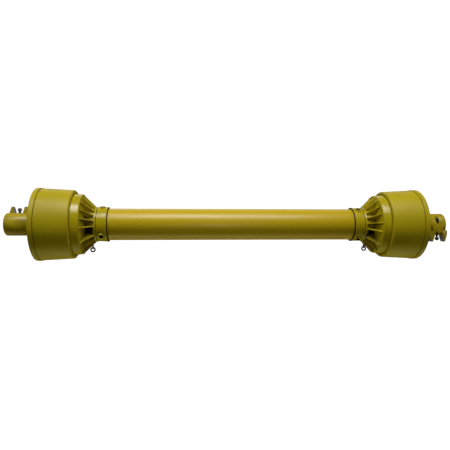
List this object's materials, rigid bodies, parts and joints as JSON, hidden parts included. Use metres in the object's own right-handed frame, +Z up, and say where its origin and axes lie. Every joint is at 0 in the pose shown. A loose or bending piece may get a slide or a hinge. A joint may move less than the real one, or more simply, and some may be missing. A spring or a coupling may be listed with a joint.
{
  "type": "universal joint shaft",
  "caption": "Telescoping drive shaft with a universal joint and splined yoke at each end, inside a plastic guard tube with ribbed cones and bells.",
  "frame": {"origin": "middle of the shaft's axis with the two halves pushed together", "axes": "+X along the shaft from the left joint to the right one, +Z up when the shaft rests in its cradle"},
  "size_m": [0.986, 0.16, 0.16],
  "materials": {
    "guard_plastic": "satin moulded polyethylene, safety yellow",
    "bearing_plastic": "greased black nylon",
    "yoke_paint": "satin yellow enamel over a forging",
    "tube_steel": "drawn tube, greased",
    "seal_rubber": "moulded rubber",
    "black_steel": "black oxide steel",
    "chain_steel": "darkened zinc-plated wire",
    "pin_steel": "turned steel, oiled",
    "nipple_brass": "zinc-passivated brass",
    "ground_steel": "ground bearing steel"
  },
  "bodies": {
    "left_guard": {"outer_guard_tube": "guard_plastic", "left_cone": "guard_plastic", "left_bell": "guard_plastic", "left_collar": "guard_plastic", "left_collar_screws": "black_steel", "left_slide_ring": "bearing_plastic"},
    "left_chain": {"left_chain_ring": "chain_steel"},
    "left_drive": {"left_inner_yoke": "yoke_paint", "outer_profile_tube": "tube_steel", "left_roll_pin": "black_steel", "left_inner_cups": "ground_steel", "left_inner_circlips": "black_steel"},
    "left_spider": {"left_cross": "ground_steel", "left_trunnion_seals": "seal_rubber", "left_grease_nipple": "nipple_brass"},
    "left_end": {"left_outer_yoke": "yoke_paint", "left_outer_cups": "ground_steel", "left_outer_circlips": "black_steel", "left_pin_spring": "black_steel"},
    "left_lock": {"left_push_pin": "pin_steel", "left_pin_head": "pin_steel"},
    "right_guard": {"inner_guard_tube": "guard_plastic", "right_cone": "guard_plastic", "right_bell": "guard_plastic", "right_collar": "guard_plastic", "right_collar_screws": "black_steel", "right_slide_ring": "bearing_plastic"},
    "right_chain": {"right_chain_ring": "chain_steel"},
    "right_drive": {"right_inner_yoke": "yoke_paint", "inner_profile_tube": "tube_steel", "right_roll_pin": "black_steel", "right_inner_cups": "ground_steel", "right_inner_circlips": "black_steel"},
    "right_spider": {"right_cross": "ground_steel", "right_trunnion_seals": "seal_rubber", "right_grease_nipple": "nipple_brass"},
    "right_end": {"right_outer_yoke": "yoke_paint", "right_outer_cups": "ground_steel", "right_outer_circlips": "black_steel", "right_pin_spring": "black_steel"},
    "right_lock": {"right_push_pin": "pin_steel", "right_pin_head": "pin_steel"}
  },
  "joints": [
    {"name": "left_guard_bearing", "type": "hinge", "parent": "left_guard", "child": "left_drive", "pos_m": [-0.305, 0, 0], "axis": [1, 0, 0], "continuous": true},
    {"name": "telescope", "type": "slide", "parent": "left_drive", "child": "right_drive", "axis": [1, 0, 0], "range_m": [0, 0.36]},
    {"name": "right_guard_bearing", "type": "hinge", "parent": "right_drive", "child": "right_guard", "pos_m": [0.305, 0, 0], "axis": [1, 0, 0], "continuous": true},
    {"name": "left_inner_pivot", "type": "hinge", "parent": "left_drive", "child": "left_spider", "pos_m": [-0.405, 0, 0], "axis": [0, 1, 0], "range_deg": [-25, 25]},
    {"name": "left_outer_pivot", "type": "hinge", "parent": "left_spider", "child": "left_end", "pos_m": [-0.405, 0, 0], "axis": [0, 0, 1], "range_deg": [-25, 25]},
    {"name": "left_pin_press", "type": "slide", "parent": "left_end", "child": "left_lock", "axis": [0, 0, -1], "range_m": [0, 0.008], "stiffness_N_per_m": 1500, "springref_m": -0.006, "deforming": ["left_pin_spring"]},
    {"name": "left_chain_swing", "type": "hinge", "parent": "left_guard", "child": "left_chain", "pos_m": [-0.308, -0.00426, -0.05132], "axis": [0, 0.9966, -0.0828], "range_deg": [-15, 15]},
    {"name": "right_inner_pivot", "type": "hinge", "parent": "right_drive", "child": "right_spider", "pos_m": [0.405, 0, 0], "axis": [0, 1, 0], "range_deg": [-25, 25]},
    {"name": "right_outer_pivot", "type": "hinge", "parent": "right_spider", "child": "right_end", "pos_m": [0.405, 0, 0], "axis": [0, 0, 1], "range_deg": [-25, 25]},
    {"name": "right_pin_press", "type": "slide", "parent": "right_end", "child": "right_lock", "axis": [0, 0, 1], "range_m": [0, 0.008], "stiffness_N_per_m": 1500, "springref_m": -0.006, "deforming": ["right_pin_spring"]},
    {"name": "right_chain_swing", "type": "hinge", "parent": "right_guard", "child": "right_chain", "pos_m": [0.308, 0.00337, -0.05139], "axis": [0, 0.9979, 0.0654], "range_deg": [-15, 15]}
  ]
}
